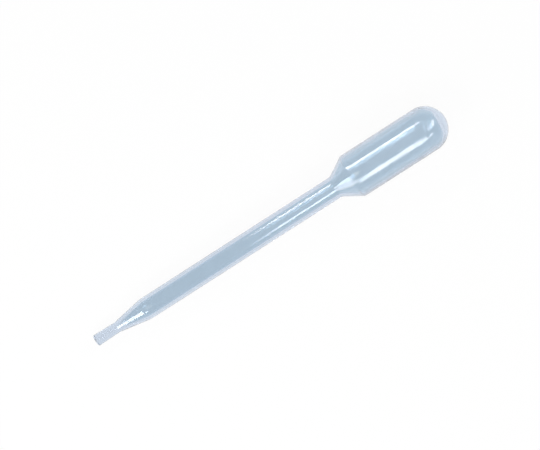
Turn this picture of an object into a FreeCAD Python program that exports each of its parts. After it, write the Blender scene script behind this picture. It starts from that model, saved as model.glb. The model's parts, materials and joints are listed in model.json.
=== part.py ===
"""Dropper pipette: one hollow piece of low-density polyethylene, blow moulded in one shot.

A round squeeze bulb runs through a conical shoulder into a straight stem, and a long taper leads on
to a short nozzle with an open mouth. The cavity follows the outside at the wall thickness, and opens
only at the mouth. At the far end of the bulb the soft tube was pinched shut between the two halves of
the mould: the round cavity closes there to a flat crease, and the dome beyond it is solid. The mould's
parting line stands out as a fine ridge along both sides and over the dome.

The piece is drawn along its own X axis, from the mouth at zero to the top of the dome. It then lies on
the ground, on the edge of its bulb and the heel of its stem, where the soft plastic is pressed level by a
tenth of a millimetre, so that it doesn't roll. The origin is under its middle.
Lengths are in millimetres and angles in degrees.
"""

import FreeCAD, Part
import math
import os

import Sketcher

# What can be set: name, size, meaning.
SIZES = [
    ("mouth_diameter", 4.2, "nozzle outside, at the mouth"),
    ("nozzle_root_diameter", 3.8, "nozzle outside, where the taper starts"),
    ("nozzle_bore", 1.3, "nozzle inside"),
    ("nozzle_length", 9.1, "mouth to taper"),
    ("taper_length", 12.3, "nozzle to straight stem"),
    ("stem_diameter", 8.1, "stem outside"),
    ("stem_wall", 1.15, "wall of the stem"),
    ("stem_length", 82.1, "straight part of the stem"),
    ("shoulder_angle", 31.0, "slope of the cone from stem to bulb"),
    ("bulb_diameter", 16.7, "bulb outside"),
    ("bulb_wall", 1.0, "wall of the bulb"),
    ("bulb_length", 30.8, "straight part of the bulb"),
    ("dome_wall", 2.5, "solid end of the dome, on the axis"),
    ("closing_length", 7.5, "stretch where the round cavity closes to the crease"),
    ("crease_width", 3.0, "cavity along the parting line, at its end"),
    ("crease_height", 1.0, "cavity across the parting line, at its end"),
    ("root_blend", 3.0, "outside radius between nozzle and taper"),
    ("taper_blend", 12.0, "outside radius between taper and stem"),
    ("neck_blend", 2.6, "outside radius between stem and shoulder"),
    ("bulb_blend", 2.0, "outside radius between shoulder and bulb"),
    ("least_blend", 0.3, "smallest radius left inside a thick wall"),
    ("ridge_height", 0.06, "parting line, above the surface"),
    ("ridge_width", 0.24, "parting line, across"),
    ("rest_flat", 0.1, "depth of the level spots it lies on"),
]

# What follows from them: name, formula, meaning.
DERIVED = [
    ("mouth_radius", "=mouth_diameter / 2", "nozzle outside, at the mouth"),
    ("root_radius", "=nozzle_root_diameter / 2", "nozzle outside, at the taper"),
    ("bore_radius", "=nozzle_bore / 2", "nozzle inside"),
    ("stem_radius", "=stem_diameter / 2", "stem outside"),
    ("stem_inside", "=stem_radius - stem_wall", "stem inside"),
    ("bulb_radius", "=bulb_diameter / 2", "bulb and dome outside"),
    ("bulb_inside", "=bulb_radius - bulb_wall", "bulb inside"),
    ("stem_start", "=nozzle_length + taper_length", "taper meets stem"),
    ("stem_end", "=stem_start + stem_length", "stem meets shoulder"),
    ("bulb_start", "=stem_end + (bulb_radius - stem_radius) / tan(shoulder_angle)", "shoulder meets bulb"),
    ("bulb_end", "=bulb_start + bulb_length", "bulb meets dome"),
    ("dome_top", "=bulb_end + bulb_radius", "end of the piece"),
    ("mouth_ridge", "=mouth_radius + ridge_height", "parting line, at the mouth"),
    ("root_ridge", "=root_radius + ridge_height", "parting line, at the taper"),
    ("stem_ridge", "=stem_radius + ridge_height", "parting line, on the stem"),
    ("bulb_ridge", "=bulb_radius + ridge_height", "parting line, on the bulb"),
    ("cavity_neck", "=stem_end + stem_wall * tan(shoulder_angle / 2)", "stem meets shoulder, inside"),
    ("cavity_bulb", "=bulb_start + bulb_wall * tan(shoulder_angle / 2)", "shoulder meets bulb, inside"),
    ("crease_place", "=dome_top - dome_wall", "end of the cavity"),
    ("closing_start", "=crease_place - closing_length", "cavity starts to close"),
    ("inner_root_blend", "=root_blend + root_radius - bore_radius", "inside radius, nozzle to taper"),
    ("inner_taper_blend", "=max(taper_blend - stem_wall; least_blend)", "inside radius, taper to stem"),
    ("inner_neck_blend", "=neck_blend + stem_wall", "inside radius, stem to shoulder"),
    ("inner_bulb_blend", "=max(bulb_blend - bulb_wall; least_blend)", "inside radius, shoulder to bulb"),
    ("taper_angle", "=atan2(stem_radius - root_radius; taper_length)", "slope of the taper"),
    ("edge_place", "=bulb_start + bulb_blend * tan(shoulder_angle / 2)", "bulb's edge, centre of its radius"),
    ("edge_out", "=bulb_radius - bulb_blend", "that centre, from the axis"),
    ("heel_place", "=stem_start + taper_blend * tan(taper_angle / 2)", "stem's heel, centre of its radius"),
    ("heel_out", "=stem_radius - taper_blend", "that centre, from the axis"),
    ("heel_reach", "=hypot(edge_place - heel_place; edge_out - heel_out)", "edge centre from heel centre"),
    ("rim_reach", "=hypot(edge_place; edge_out - mouth_radius)", "edge centre from the mouth's rim"),
    ("heel_lift", "=asin((edge_out - heel_out) / heel_reach) - asin((taper_blend - bulb_blend) / heel_reach)",
     "tilt when it lies on edge and heel"),
    ("rim_lift", "=asin((edge_out - mouth_radius) / rim_reach) + asin(bulb_blend / rim_reach)",
     "tilt when it lies on edge and rim"),
    ("rest_angle", "=min(heel_lift; rim_lift)", "tilt at rest"),
    ("rest_height", "=edge_out * cos(rest_angle) - edge_place * sin(rest_angle) + bulb_blend - rest_flat",
     "mouth's centre above the ground"),
    ("ground_mouth", "=-rest_height / cos(rest_angle)", "ground at the mouth, from the axis"),
    ("ground_top", "=ground_mouth - dome_top * tan(rest_angle)", "ground at the dome's top, from the axis"),
    ("ground_bed", "=-2 * bulb_diameter", "bottom of what the ground takes, from the axis"),
    ("near_end", "=-mouth_radius * sin(rest_angle)", "end of the piece at rest, past the mouth's centre"),
    ("far_end", "=bulb_end * cos(rest_angle) + bulb_radius", "other end at rest"),
    ("rest_place", "=-(near_end + far_end) / 2", "mouth's centre from the origin"),
]

# Sections of the closing: angles of the quarter round that runs from the bulb's wall to the crease.
CLOSING_ANGLES = (22.5, 45, 67.5, 90)


def closing_sizes():
    """Place, width and height of each section of the closing, as named formulas."""
    rows = []
    for index, angle in enumerate(CLOSING_ANGLES, start=1):
        place = f"=closing_start + closing_length * sin({angle})"
        rows.append((f"closing_place_{index}", place, f"closing section {index}, from the mouth"))
        for side in ("width", "height"):
            formula = f"=crease_{side} + (2 * bulb_inside - crease_{side}) * cos({angle})"
            rows.append((f"closing_{side}_{index}", formula, f"closing section {index}, its {side}"))
    return rows


def make_sheet(doc):
    """Spreadsheet with one named cell for each size."""
    sheet = doc.addObject("Spreadsheet::Sheet", "Sizes")
    for row, (name, size, meaning) in enumerate(SIZES + DERIVED + closing_sizes(), start=1):
        sheet.set(f"A{row}", meaning)
        sheet.set(f"B{row}", str(size))
        sheet.setAlias(f"B{row}", name)
    doc.recompute()
    return sheet


def number(sheet, name):
    """Value of a named size, or zero for the axis and the mouth, which have no name."""
    return float(sheet.get(name)) if name else 0.0


def dimension(sketch, sheet, kind, place, name):
    """Dimension tied to a named size, or fixed at zero."""
    index = sketch.addConstraint(Sketcher.Constraint(kind, *place, number(sheet, name)))
    if name:
        sketch.setExpression(f"Constraints[{index}]", f"{sheet.Name}.{name}")


def new_sketch(body, name, role):
    """Empty sketch on one of the body's own origin planes."""
    sketch = body.newObject("Sketcher::SketchObject", name)
    plane = next(item for item in body.Origin.OriginFeatures if item.Role == role)
    sketch.AttachmentSupport = [(plane, "")]
    sketch.MapMode = "FlatFace"
    return sketch


def outline(body, sheet, name, role, corners, domed):
    """Closed outline in a plane through the axis.

    Each corner is (place along the axis, distance from it, blend radius). A domed outline goes from its
    last corner to the axis on a quarter circle, and any other one goes straight back to the first corner.
    """
    sketch = new_sketch(body, name, role)
    points = [FreeCAD.Vector(number(sheet, along), number(sheet, out), 0) for along, out, _ in corners]
    for start, end in zip(points, points[1:]):
        sketch.addGeometry(Part.LineSegment(start, end))
    last = len(points) - 2
    for line in range(last):
        sketch.addConstraint(Sketcher.Constraint("Coincident", line, 2, line + 1, 1))
    if domed:
        close_with_dome(sketch, points, last)
    else:
        closing = sketch.addGeometry(Part.LineSegment(points[-1], points[0]))
        sketch.addConstraint(Sketcher.Constraint("Coincident", last, 2, closing, 1))
        sketch.addConstraint(Sketcher.Constraint("Coincident", closing, 2, 0, 1))
    for index, (along, out, _) in enumerate(corners):
        end = (index, 1) if index <= last else (last, 2)
        dimension(sketch, sheet, "DistanceX", (-1, 1, *end), along)
        dimension(sketch, sheet, "DistanceY", (-1, 1, *end), out)
    for index, (_, _, blend) in enumerate(corners):
        if blend:
            arc = sketch.GeometryCount
            sketch.fillet(index - 1, 2, number(sheet, blend), True, True)
            dimension(sketch, sheet, "Radius", (arc,), blend)
    return sketch


def close_with_dome(sketch, points, last):
    """Quarter circle from the last corner to the axis, and the axis back to the first corner."""
    centre = FreeCAD.Vector(points[-1].x, 0, 0)
    radius = points[-1].y
    circle = Part.Circle(centre, FreeCAD.Vector(0, 0, 1), radius)
    dome = sketch.addGeometry(Part.ArcOfCircle(circle, 0, math.pi / 2))
    axis = sketch.addGeometry(Part.LineSegment(centre + FreeCAD.Vector(radius, 0, 0), points[0]))
    sketch.addConstraint(Sketcher.Constraint("Tangent", last, 2, dome, 2))
    sketch.addConstraint(Sketcher.Constraint("PointOnObject", dome, 3, -1))
    sketch.addConstraint(Sketcher.Constraint("PointOnObject", dome, 1, -1))
    sketch.addConstraint(Sketcher.Constraint("Coincident", dome, 1, axis, 1))
    sketch.addConstraint(Sketcher.Constraint("Coincident", axis, 2, 0, 1))


def turned(body, kind, name, sketch):
    """Revolution or groove of a half outline, all the way round the axis."""
    feature = body.newObject(kind, name)
    feature.Profile = sketch
    feature.ReferenceAxis = (sketch, ["H_Axis"])
    feature.Angle = 360
    sketch.Visibility = False
    return feature


def outer_line(body, sheet, name, reach):
    """Half outline of nozzle, taper, stem, shoulder, bulb and dome, out to their radius or their ridge."""
    corners = [
        ("", "", ""),
        ("", f"mouth_{reach}", ""),
        ("nozzle_length", f"root_{reach}", "root_blend"),
        ("stem_start", f"stem_{reach}", "taper_blend"),
        ("stem_end", f"stem_{reach}", "neck_blend"),
        ("bulb_start", f"bulb_{reach}", "bulb_blend"),
        ("bulb_end", f"bulb_{reach}", ""),
    ]
    return outline(body, sheet, name, "XY_Plane", corners, True)


def outside(body, sheet):
    """Solid of the outer form."""
    return turned(body, "PartDesign::Revolution", "Outside", outer_line(body, sheet, "OutsideLine", "radius"))


def parting_line(body, sheet):
    """Thin plate in the mould's parting plane, a little proud of the outer form, on both sides."""
    sketch = outer_line(body, sheet, "PartingOutline", "ridge")
    plate = body.newObject("PartDesign::Pad", "PartingLine")
    plate.Profile = sketch
    plate.Midplane = True
    plate.setExpression("Length", f"{sheet.Name}.ridge_width")
    other = body.newObject("PartDesign::Mirrored", "PartingLineOtherSide")
    other.Originals = [plate]
    other.MirrorPlane = (sketch, ["H_Axis"])
    body.Tip = other


def cavity(body, sheet):
    """Hollow from the mouth to where the bulb starts to close."""
    corners = [
        ("", "", ""),
        ("", "bore_radius", ""),
        ("nozzle_length", "bore_radius", "inner_root_blend"),
        ("stem_start", "stem_inside", "inner_taper_blend"),
        ("cavity_neck", "stem_inside", "inner_neck_blend"),
        ("cavity_bulb", "bulb_inside", "inner_bulb_blend"),
        ("closing_start", "bulb_inside", ""),
        ("closing_start", "", ""),
    ]
    line = outline(body, sheet, "CavityLine", "XY_Plane", corners, False)
    turned(body, "PartDesign::Groove", "Cavity", line)


def section(body, sheet, index):
    """Oval section of the closing, centred on the axis."""
    width = f"closing_width_{index}"
    height = f"closing_height_{index}"
    sketch = new_sketch(body, f"Closing{index}", "YZ_Plane")
    sketch.setExpression("AttachmentOffset.Base.z", f"{sheet.Name}.closing_place_{index}")
    half_width = number(sheet, width) / 2
    half_height = number(sheet, height) / 2
    tip = FreeCAD.Vector(half_width, 0, 0)
    side = FreeCAD.Vector(0, half_height, 0)
    oval = sketch.addGeometry(Part.Ellipse(tip, side, FreeCAD.Vector()))
    sketch.exposeInternalGeometry(oval)
    long_axis = oval + 1
    short_axis = oval + 2
    sketch.addConstraint(Sketcher.Constraint("Coincident", oval, 3, -1, 1))
    sketch.addConstraint(Sketcher.Constraint("PointOnObject", long_axis, 1, -1))
    dimension(sketch, sheet, "Distance", (long_axis,), width)
    dimension(sketch, sheet, "Distance", (short_axis,), height)
    return sketch


def closing(body, sheet):
    """End of the cavity, where the pinched tube closes from the round to a flat crease."""
    start = new_sketch(body, "ClosingStart", "YZ_Plane")
    start.setExpression("AttachmentOffset.Base.z", f"{sheet.Name}.closing_start")
    circle = Part.Circle(FreeCAD.Vector(), FreeCAD.Vector(0, 0, 1), number(sheet, "bulb_inside"))
    start.addGeometry(circle)
    start.addConstraint(Sketcher.Constraint("Coincident", 0, 3, -1, 1))
    dimension(start, sheet, "Radius", (0,), "bulb_inside")
    ovals = [section(body, sheet, index + 1) for index in range(len(CLOSING_ANGLES))]
    loft = body.newObject("PartDesign::SubtractiveLoft", "Closing")
    loft.Profile = start
    loft.Sections = ovals


def rest_spots(body, sheet):
    """Level spots where the bulb's edge and the stem's heel press on the ground, so that it lies still."""
    corners = [
        ("", "ground_mouth", ""),
        ("dome_top", "ground_top", ""),
        ("dome_top", "ground_bed", ""),
        ("", "ground_bed", ""),
    ]
    ground = body.newObject("PartDesign::Pocket", "RestSpots")
    ground.Profile = outline(body, sheet, "Ground", "XZ_Plane", corners, False)
    ground.Type = "ThroughAll"
    ground.Midplane = True


def lay_down(body, sheet):
    """Tilt and lift the piece as it lies on the ground, with the bulb's end up."""
    body.Placement = FreeCAD.Placement(FreeCAD.Vector(), FreeCAD.Rotation(FreeCAD.Vector(0, -1, 0), 1))
    body.setExpression("Placement.Rotation.Angle", f"{sheet.Name}.rest_angle")
    body.setExpression("Placement.Base.x", f"{sheet.Name}.rest_place")
    body.setExpression("Placement.Base.z", f"{sheet.Name}.rest_height")


def check(doc, body):
    """Stop if any feature failed or the piece isn't one sound solid."""
    failed = [item.Name for item in doc.Objects if {"Invalid", "Error"} & set(item.State)]
    if failed:
        raise RuntimeError(f"failed: {', '.join(failed)}")
    if body.Shape.isNull() or not body.Shape.isValid() or len(body.Shape.Solids) != 1:
        raise RuntimeError("the piece isn't one sound solid")


def main():
    doc = FreeCAD.newDocument("DropperPipette")
    sheet = make_sheet(doc)
    body = doc.addObject("PartDesign::Body", "Pipette")
    body.Label = "pipette"
    whole = outside(body, sheet)
    parting_line(body, sheet)
    doc.recompute()
    cavity(body, sheet)
    closing(body, sheet)
    rest_spots(body, sheet)
    lay_down(body, sheet)
    doc.recompute()
    check(doc, body)
    if body.Shape.Volume >= whole.Shape.Volume:
        raise RuntimeError("the cavity cuts nothing")
    os.makedirs("parts", exist_ok=True)
    body.Shape.exportStep(f"parts/{body.Label}.step")


main()
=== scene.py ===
"""Looks of the dropper pipette: translucent polyethylene on a white floor, seen from above.

The pipette is one blown shell. Its skin is turned here round the axis that the frame's mounts give: an
outside with the mould's soft edges, and an inside that wavers a little, as blown walls do, and closes to
a flat crease at the bulb's end. All lengths are in metres.
"""

import json
import math
from collections import namedtuple

import bmesh
import bpy
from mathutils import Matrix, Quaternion, Vector, noise


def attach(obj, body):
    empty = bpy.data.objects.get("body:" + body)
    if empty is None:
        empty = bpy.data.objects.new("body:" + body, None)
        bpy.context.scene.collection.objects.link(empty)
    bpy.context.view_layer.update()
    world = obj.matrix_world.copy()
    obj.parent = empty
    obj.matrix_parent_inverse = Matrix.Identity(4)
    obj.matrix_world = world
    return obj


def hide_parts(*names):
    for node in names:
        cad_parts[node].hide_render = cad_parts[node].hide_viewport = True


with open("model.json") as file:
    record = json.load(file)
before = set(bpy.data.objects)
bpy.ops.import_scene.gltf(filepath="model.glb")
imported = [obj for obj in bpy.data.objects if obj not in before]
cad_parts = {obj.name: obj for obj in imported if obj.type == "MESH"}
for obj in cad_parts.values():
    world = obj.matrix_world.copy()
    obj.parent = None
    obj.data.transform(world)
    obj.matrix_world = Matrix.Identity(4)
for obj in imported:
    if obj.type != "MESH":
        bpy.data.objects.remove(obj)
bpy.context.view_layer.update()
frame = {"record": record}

MM = 0.001
MOUNTS = {mount["name"]: mount for mount in frame["record"]["mounts"]}
NOZZLE = MOUNTS["nozzle_bore"]

# Where the pipette lies: its own axes and the middle of its mouth.
ALONG = -Vector(NOZZLE["axis"]).normalized()
ACROSS = Vector((0, 1, 0))
UP = ALONG.cross(ACROSS)
MOUTH = Vector(NOZZLE["pos_m"]) - ALONG * NOZZLE["dims"]["length_mm"] * MM / 2

# Outside, from the mouth on.
MOUTH_RADIUS = 2.1 * MM
ROOT_RADIUS = 1.9 * MM
STEM_RADIUS = MOUNTS["stem"]["dims"]["r_mm"] * MM
BULB_RADIUS = 8.34 * MM
NOZZLE_LENGTH = 9.1 * MM
TAPER_LENGTH = 12.3 * MM
STEM_LENGTH = 82.1 * MM
BULB_LENGTH = 30.8 * MM
SHOULDER_ANGLE = math.radians(31)
RIM_BLEND = 0.12 * MM
ROOT_BLEND = 3.0 * MM
TAPER_BLEND = 12.0 * MM
NECK_BLEND = 2.6 * MM
BULB_BLEND = 2.0 * MM

# Inside.
BORE_RADIUS = NOZZLE["dims"]["r_mm"] * MM
STEM_WALL = 1.15 * MM
BULB_WALL = 1.0 * MM
DOME_WALL = 2.5 * MM
CLOSING_LENGTH = 7.5 * MM
CREASE_WIDTH = 3.0 * MM
CREASE_HEIGHT = 1.0 * MM

# Parting line of the mould, along both sides and over the dome.
RIDGE_HEIGHT = 0.06 * MM
RIDGE_WIDTH = 0.24 * MM

# How far the inside strays from the true round, and how much more with each metre past a place in the bulb.
WAVE = 0.05 * MM
WAVE_LENGTH = 5 * MM
FOLD_START = 132 * MM
FOLD = 0.04

# How finely the skin is divided.
ROUND_STEPS = 128
RIDGE_STEPS = (math.radians(0.8), math.radians(1.7))
LONG_STEP = 1.2 * MM
ARC_STEP = math.radians(4)
DOME_STEPS = 36
CLOSING_STEPS = 24
CREASE_RINGS = (0.33, 0.66)

# Share of each colour that the surfaces let through: the outer one, and the inner one where the wall is
# thick and where it is blown thin. The nozzle's bore lets all of it through, a painted lightening for the
# less shaded floor under the thin nozzle.
OUTER_TINT = Vector((0.633, 0.716, 0.835))
THICK_TINT = Vector((0.708, 0.805, 0.843))
THIN_TINT = Vector((0.767, 0.855, 0.886))
BORE_PAINTED_LIGHT_TINT = Vector((1, 1, 1))
BORE_PAINTED_LIGHT_FADE = 5 * MM
REFRACTION = 1.5

# Painted shade along the bulb's two sides, where its rims take in the floor's shadow: how dark it is, how
# much darker on the near side, how closely it keeps to the sides, and how soon it is lost where the pipette
# is thinner.
PAINTED_RIM_SHADE = 0.17
PAINTED_NEAR_SIDE_SHADE = 0.05
PAINTED_RIM_SHADE_NARROWNESS = 8
PAINTED_RIM_SHADE_LOSS = 4

# Faint clouds in all of it.
CLOUD = 0.06
CLOUD_LENGTH = 6 * MM

# Finish: drawn ripples in the blown bulb, and a fine grain everywhere.
OUTER_ROUGHNESS = 0.065
INNER_ROUGHNESS = 0.05
SMEAR = 0.03
SMEAR_LENGTH = 2.5 * MM
SMEAR_STRETCH = 3
RIPPLE = 0.10 * MM
RIPPLE_LENGTH = 1.2 * MM
RIPPLE_STRETCH = 10
GRAIN = 0.004 * MM
GRAIN_LENGTH = 0.8 * MM

# Studio.
FLOOR_SIZE = 4
FLOOR_COLOUR = (0.9, 0.9, 0.9, 1)
FLOOR_GLOW = 0.95
HORIZON_LIGHT = 0.2
ZENITH_LIGHT = 0.33
LAMP_DISTANCE = 0.65
CAMERA_TARGET = Vector((1.28, 1.24, 7.5)) * MM
CAMERA_DISTANCE = 1.5
CAMERA_LENS = 279.4
CAMERA_SENSOR = 36
CAMERA_LEAN = math.radians(5.5)
PICTURE_TURN = math.radians(-32.72)
MOST_BOUNCES = 32
GLOSSY_BOUNCES = 24

# A ring of the skin: its place on the axis, half its width and its height, and whether it is inside.
Ring = namedtuple("Ring", "along half_width half_height inside")


def straight(start, end):
    """Evenly spaced points after start, up to and with end."""
    count = max(1, round((end - start).length / LONG_STEP))
    return [start.lerp(end, step / count) for step in range(1, count + 1)]


def turned_corner(before, corner, after, radius):
    """Arc that rounds a corner of a flat outline."""
    way_in = (corner - before).normalized()
    way_out = (after - corner).normalized()
    turn = math.atan2(way_in.x * way_out.y - way_in.y * way_out.x, way_in.dot(way_out))
    start = corner - way_in * radius * math.tan(abs(turn) / 2)
    spoke = Vector((way_in.y, -way_in.x)) * math.copysign(radius, turn)
    count = max(2, math.ceil(abs(turn) / ARC_STEP))
    arc = []
    for step in range(count + 1):
        angle = turn * step / count
        turned = Vector((spoke.x * math.cos(angle) - spoke.y * math.sin(angle),
                         spoke.x * math.sin(angle) + spoke.y * math.cos(angle)))
        arc.append(start - spoke + turned)
    return arc


def outline(corners):
    """Points along a flat outline of straight runs, rounded at each corner between the first and last."""
    places = [Vector(corner[:2]) for corner in corners]
    points = [places[0]]
    for index in range(1, len(corners) - 1):
        arc = turned_corner(places[index - 1], places[index], places[index + 1], corners[index][2])
        points += straight(points[-1], arc[0]) + arc[1:]
    return points + straight(points[-1], places[-1])


def wall_line():
    """Line of the wall from where the cavity starts to close, out through the mouth, to the dome."""
    half_slope = math.tan(SHOULDER_ANGLE / 2)
    stem_start = NOZZLE_LENGTH + TAPER_LENGTH
    stem_end = stem_start + STEM_LENGTH
    bulb_start = stem_end + (BULB_RADIUS - STEM_RADIUS) / math.tan(SHOULDER_ANGLE)
    bulb_end = bulb_start + BULB_LENGTH
    closing_start = bulb_end + BULB_RADIUS - DOME_WALL - CLOSING_LENGTH
    bulb_inside = BULB_RADIUS - BULB_WALL
    stem_inside = STEM_RADIUS - STEM_WALL
    inside = [
        (closing_start, bulb_inside, 0),
        (bulb_start + BULB_WALL * half_slope, bulb_inside, BULB_BLEND - BULB_WALL),
        (stem_end + STEM_WALL * half_slope, stem_inside, NECK_BLEND + STEM_WALL),
        (stem_start, stem_inside, TAPER_BLEND - STEM_WALL),
        (NOZZLE_LENGTH, BORE_RADIUS, ROOT_BLEND + ROOT_RADIUS - BORE_RADIUS),
        (0, BORE_RADIUS, RIM_BLEND),
    ]
    outside = [
        (0, MOUTH_RADIUS, RIM_BLEND),
        (NOZZLE_LENGTH, ROOT_RADIUS, ROOT_BLEND),
        (stem_start, STEM_RADIUS, TAPER_BLEND),
        (stem_end, STEM_RADIUS, NECK_BLEND),
        (bulb_start, BULB_RADIUS, BULB_BLEND),
        (bulb_end, BULB_RADIUS, 0),
    ]
    return outline(inside + outside)


def closing_rings(start):
    """Rings that open the cavity from its flat crease to its full round."""
    bulb_inside = BULB_RADIUS - BULB_WALL
    end = start + CLOSING_LENGTH
    rings = [Ring(end, share * CREASE_WIDTH / 2, share * CREASE_HEIGHT / 2, True) for share in CREASE_RINGS]
    for step in range(CLOSING_STEPS, 0, -1):
        angle = math.pi / 2 * step / CLOSING_STEPS
        half_width = CREASE_WIDTH / 2 + (bulb_inside - CREASE_WIDTH / 2) * math.cos(angle)
        half_height = CREASE_HEIGHT / 2 + (bulb_inside - CREASE_HEIGHT / 2) * math.cos(angle)
        rings.append(Ring(start + CLOSING_LENGTH * math.sin(angle), half_width, half_height, True))
    return rings


def dome_rings(start):
    """Rings of the dome, without its top."""
    rings = []
    for step in range(1, DOME_STEPS):
        angle = math.pi / 2 * step / DOME_STEPS
        radius = BULB_RADIUS * math.cos(angle)
        rings.append(Ring(start + BULB_RADIUS * math.sin(angle), radius, radius, False))
    return rings


def skin_rings():
    """All rings, from the crease, out through the mouth, to the dome."""
    wall = wall_line()
    mouth = min(range(len(wall)), key=lambda index: wall[index].x)
    middle = [Ring(point.x, point.y, point.y, index < mouth) for index, point in enumerate(wall)]
    return closing_rings(wall[0].x) + middle + dome_rings(wall[-1].x)


def blown(ring):
    """How far the plastic was blown there: one in the bulb, much less in the stem, and none outside."""
    return (ring.half_width / BULB_RADIUS) ** 2 if ring.inside else 0


def tint_and_painted_light(ring, angle):
    """Share of each colour that the surface lets through, with painted shade along the bulb's sides and
    painted lightening in the nozzle's bore.
    """
    if not ring.inside:
        # Painted shade: the outer tint is darkened along both sides of the bulb, more on the near side.
        side = math.cos(angle)
        painted_shade = abs(side) ** PAINTED_RIM_SHADE_NARROWNESS * (ring.half_width / BULB_RADIUS) ** PAINTED_RIM_SHADE_LOSS
        return OUTER_TINT * (1 - painted_shade * (PAINTED_RIM_SHADE - PAINTED_NEAR_SIDE_SHADE * side))
    # Painted lightening: the bore's inner surface fades to untinted towards the mouth, for the less shaded
    # floor under the nozzle.
    clear = min(1, max(0, (NOZZLE_LENGTH + BORE_PAINTED_LIGHT_FADE - ring.along) / BORE_PAINTED_LIGHT_FADE))
    return THICK_TINT.lerp(THIN_TINT, blown(ring)).lerp(BORE_PAINTED_LIGHT_TINT, clear)


def ring_point(ring, angle):
    """Point of a ring in the pipette's own axes, inside a little off the true round, as a blown wall is."""
    point = Vector((ring.along, ring.half_width * math.cos(angle), ring.half_height * math.sin(angle)))
    if ring.inside:
        reach = WAVE * blown(ring) + FOLD * max(0, ring.along - FOLD_START)
        stray = 1 + reach / BULB_RADIUS * noise.noise(point / WAVE_LENGTH)
        point = Vector((point.x, point.y * stray, point.z * stray))
    return point


def placed(point):
    """The same point in the frame, never under the ground."""
    place = MOUTH + ALONG * point.x + ACROSS * point.y + UP * point.z
    place.z = max(place.z, 0)
    return place


def round_angles():
    """Angles of a ring's points, closer together at the two parting lines."""
    even = [math.tau * step / ROUND_STEPS for step in range(ROUND_STEPS)]
    close = [line + side * step for line in (0, math.pi) for side in (1, -1) for step in RIDGE_STEPS]
    return sorted(even + [angle % math.tau for angle in close])


def raise_ridges(mesh, own, inside):
    """Raise the parting line out of the outer surface."""
    mesh.normal_update()
    for vertex in mesh.verts:
        rise = 1 - (vertex[own].z / (RIDGE_WIDTH / 2)) ** 2
        if rise > 0 and vertex[own].x > RIM_BLEND and not vertex[inside]:
            vertex.co += vertex.normal * RIDGE_HEIGHT * rise


def make_skin():
    """Closed mesh of the shell, ring by ring, with what the material needs to know at each point."""
    rings = skin_rings()
    angles = round_angles()
    mesh = bmesh.new()
    layers = mesh.verts.layers
    own, colour = layers.float_vector.new("own"), layers.float_color.new("tint_and_painted_light")
    inside, ripple = layers.float.new("inside"), layers.float.new("blown")

    def add_point(ring, point, angle=math.pi / 2):
        vertex = mesh.verts.new(placed(point))
        vertex[own], vertex[colour] = point, (*tint_and_painted_light(ring, angle), 1)
        vertex[inside], vertex[ripple] = ring.inside, blown(ring)
        return vertex

    rows = [[add_point(ring, ring_point(ring, angle), angle) for angle in angles] for ring in rings]
    crease = add_point(rings[0], Vector((rings[0].along, 0, 0)))
    top = add_point(rings[-1], Vector((wall_line()[-1].x + BULB_RADIUS, 0, 0)))
    for step in range(len(angles)):
        after = (step + 1) % len(angles)
        mesh.faces.new((crease, rows[0][after], rows[0][step]))
        mesh.faces.new((top, rows[-1][step], rows[-1][after]))
        for near, far in zip(rows, rows[1:]):
            mesh.faces.new((near[step], near[after], far[after], far[step]))
    bmesh.ops.recalc_face_normals(mesh, faces=mesh.faces)
    raise_ridges(mesh, own, inside)
    for face in mesh.faces:
        face.smooth = True
    data = bpy.data.meshes.new("skin")
    mesh.to_mesh(data)
    mesh.free()
    skin = bpy.data.objects.new("skin", data)
    bpy.context.collection.objects.link(skin)
    return skin


def new_material(name):
    """Material with an empty node tree but for its output."""
    material = bpy.data.materials.new(name)
    material.use_nodes = True
    tree = material.node_tree
    tree.nodes.clear()
    tree.nodes.new("ShaderNodeOutputMaterial").name = "output"
    return material, tree


def node(tree, kind, inputs, **settings):
    """New node with its settings, each of its inputs set to a value or joined to another node's output."""
    new = tree.nodes.new(kind)
    for name, value in settings.items():
        setattr(new, name, value)
    for name, value in inputs.items():
        if isinstance(value, bpy.types.NodeSocket):
            tree.links.new(value, new.inputs[name])
        else:
            new.inputs[name].default_value = value
    return new


def maths(tree, operation, *values):
    """Result of one operation on values or other nodes' outputs."""
    return node(tree, "ShaderNodeMath", dict(enumerate(values)), operation=operation).outputs[0]


def known(tree, name, output="Fac"):
    """What make_skin noted at each point."""
    return node(tree, "ShaderNodeAttribute", {}, attribute_name=name).outputs[output]


def pattern(tree, length, stretch=1):
    """Noise whose features have a given length across the pipette, and are stretched along it."""
    scale = Vector((1 / stretch, 1, 1)) / length
    mapping = node(tree, "ShaderNodeMapping", {"Vector": known(tree, "own", "Vector"), "Scale": scale})
    clouds = node(tree, "ShaderNodeTexNoise", {"Vector": mapping.outputs["Vector"], "Scale": 1, "Detail": 2})
    return clouds.outputs["Fac"]


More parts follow.
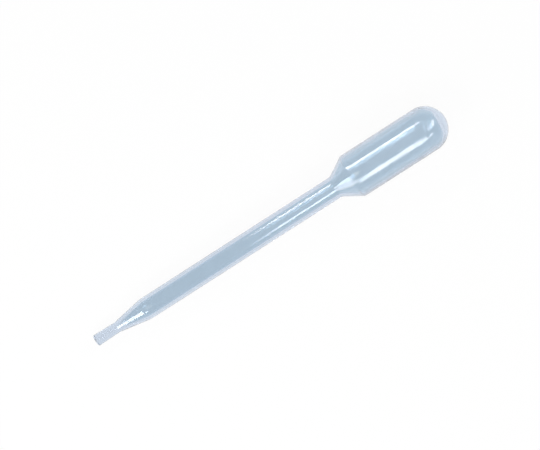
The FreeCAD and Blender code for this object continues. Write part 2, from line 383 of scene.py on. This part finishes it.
def polyethylene():
    """Blown polyethylene: each surface holds back a little of the light, in faint clouds."""
    material, tree = new_material("polyethylene")
    cloud = maths(tree, "MULTIPLY_ADD", pattern(tree, CLOUD_LENGTH), CLOUD, 1 - CLOUD / 2)
    # The noted tint holds painted shade along the bulb's sides and painted lightening in the nozzle's bore.
    colour = node(tree, "ShaderNodeVectorMath", {"Vector": known(tree, "tint_and_painted_light", "Color"), "Scale": cloud},
                  operation="SCALE")
    finish = node(tree, "ShaderNodeMapRange", {"Value": known(tree, "inside"), "To Min": OUTER_ROUGHNESS,
                                               "To Max": INNER_ROUGHNESS})
    smears = pattern(tree, SMEAR_LENGTH, SMEAR_STRETCH)
    smeared = maths(tree, "MULTIPLY_ADD", smears, SMEAR, finish.outputs["Result"])
    ripples = maths(tree, "MULTIPLY", pattern(tree, RIPPLE_LENGTH, RIPPLE_STRETCH), known(tree, "blown"))
    grain = maths(tree, "MULTIPLY", pattern(tree, GRAIN_LENGTH), GRAIN)
    height = maths(tree, "MULTIPLY_ADD", ripples, RIPPLE, grain)
    bump = node(tree, "ShaderNodeBump", {"Height": height, "Distance": 1})
    shader = node(tree, "ShaderNodeBsdfPrincipled", {
        "Base Color": colour.outputs["Vector"],
        "Roughness": smeared,
        "Normal": bump.outputs["Normal"],
        "IOR": REFRACTION,
        "Transmission Weight": 1,
    })
    tree.links.new(shader.outputs["BSDF"], tree.nodes["output"].inputs["Surface"])
    return material


def white_floor():
    """Floor that is white to the camera and through the plastic, and keeps the pipette's shadow."""
    bpy.ops.mesh.primitive_plane_add(size=FLOOR_SIZE)
    floor = bpy.context.object
    floor.name = "floor"
    material, tree = new_material("floor")
    rays = node(tree, "ShaderNodeLightPath", {}).outputs
    seen = maths(tree, "MAXIMUM", rays["Is Camera Ray"], rays["Is Glossy Ray"])
    seen = maths(tree, "MAXIMUM", seen, rays["Is Transmission Ray"])
    shaded = node(tree, "ShaderNodeBsdfDiffuse", {"Color": FLOOR_COLOUR}).outputs["BSDF"]
    glow = node(tree, "ShaderNodeEmission", {"Strength": 1}).outputs["Emission"]
    share = maths(tree, "MULTIPLY", seen, FLOOR_GLOW)
    mix = node(tree, "ShaderNodeMixShader", {0: share, 1: shaded, 2: glow})
    tree.links.new(mix.outputs["Shader"], tree.nodes["output"].inputs["Surface"])
    floor.data.materials.append(material)


def softbox(name, over, azimuth, elevation, width, height, strength, roll=0):
    """Area light turned to a place on the X axis, which it shines on from an azimuth and elevation.

    All three angles are in degrees.
    """
    around, above = math.radians(azimuth), math.radians(elevation)
    way = Vector((math.cos(above) * math.cos(around), math.cos(above) * math.sin(around), math.sin(above)))
    lamp = bpy.data.lights.new(name, "AREA")
    lamp.shape = "RECTANGLE"
    lamp.size = width
    lamp.size_y = height
    lamp.energy = strength * width * height
    holder = bpy.data.objects.new(name, lamp)
    holder.location = Vector((over, 0, 0)) + way * LAMP_DISTANCE
    turn = Quaternion((0, 0, 1), math.radians(roll))
    holder.rotation_euler = (way.to_track_quat("Z", "Y") @ turn).to_euler()
    bpy.context.collection.objects.link(holder)


def sky():
    """Even surroundings, dim at the horizon and brighter overhead."""
    world = bpy.data.worlds.new("studio")
    world.use_nodes = True
    tree = world.node_tree
    way = node(tree, "ShaderNodeTexCoord", {}).outputs["Generated"]
    up = node(tree, "ShaderNodeSeparateXYZ", {"Vector": way}).outputs["Z"]
    light = node(tree, "ShaderNodeMapRange", {"Value": up, "To Min": HORIZON_LIGHT, "To Max": ZENITH_LIGHT})
    tree.links.new(light.outputs["Result"], tree.nodes["Background"].inputs["Strength"])
    tree.nodes["Background"].inputs["Color"].default_value = (1, 1, 1, 1)
    bpy.context.scene.world = world


def softboxes():
    """Long softboxes beside the bulb and the stem, and others past the mouth and the dome."""
    softbox("bulb_far_side", over=-0.0215, azimuth=90, elevation=43, width=0.123, height=0.10, strength=30)
    softbox("stem_far_side", over=-0.096, azimuth=90, elevation=38, width=0.041, height=0.12, strength=50)
    softbox("stem_near_side", over=-0.100, azimuth=270, elevation=56, width=0.042, height=0.17, strength=23)
    softbox("bulb_near_side", over=-0.0348, azimuth=270, elevation=49.5,
            width=0.057, height=0.285, strength=21)
    softbox("past_mouth_high", over=-0.060, azimuth=206, elevation=51,
            width=0.48, height=0.12, strength=28, roll=-28)
    softbox("past_mouth_side", over=-0.060, azimuth=241, elevation=50, width=0.08, height=0.12, strength=24)
    softbox("past_mouth_low", over=0.030, azimuth=193, elevation=17, width=0.42, height=0.27, strength=13)
    softbox("past_dome", over=0.067, azimuth=8, elevation=35,
            width=0.34, height=0.13, strength=27, roll=-40)
    softbox("past_dome_near", over=0.067, azimuth=286, elevation=47, width=0.30, height=0.09, strength=20)


def camera_above():
    """Camera above the pipette, a little toward its bulb, turned so that the bulb points up and right."""
    camera = bpy.data.objects.new("camera", bpy.data.cameras.new("camera"))
    camera.data.lens = CAMERA_LENS
    camera.data.sensor_width = CAMERA_SENSOR
    back = Vector((math.sin(CAMERA_LEAN), 0, math.cos(CAMERA_LEAN)))
    camera.location = CAMERA_TARGET + back * CAMERA_DISTANCE
    camera.rotation_mode = "ZYX"
    camera.rotation_euler = (0, CAMERA_LEAN, PICTURE_TURN)
    bpy.context.collection.objects.link(camera)
    bpy.context.scene.camera = camera


def light_paths():
    """Enough bounces for light that runs round in the solid end of the dome."""
    paths = bpy.context.scene.cycles
    paths.max_bounces = MOST_BOUNCES
    paths.glossy_bounces = GLOSSY_BOUNCES
    paths.transmission_bounces = MOST_BOUNCES


skin = make_skin()
skin.data.materials.append(polyethylene())
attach(skin, "root")
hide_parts("pipette")
white_floor()
sky()
softboxes()
camera_above()
light_paths()
bpy.context.scene.view_settings.view_transform = "Standard"
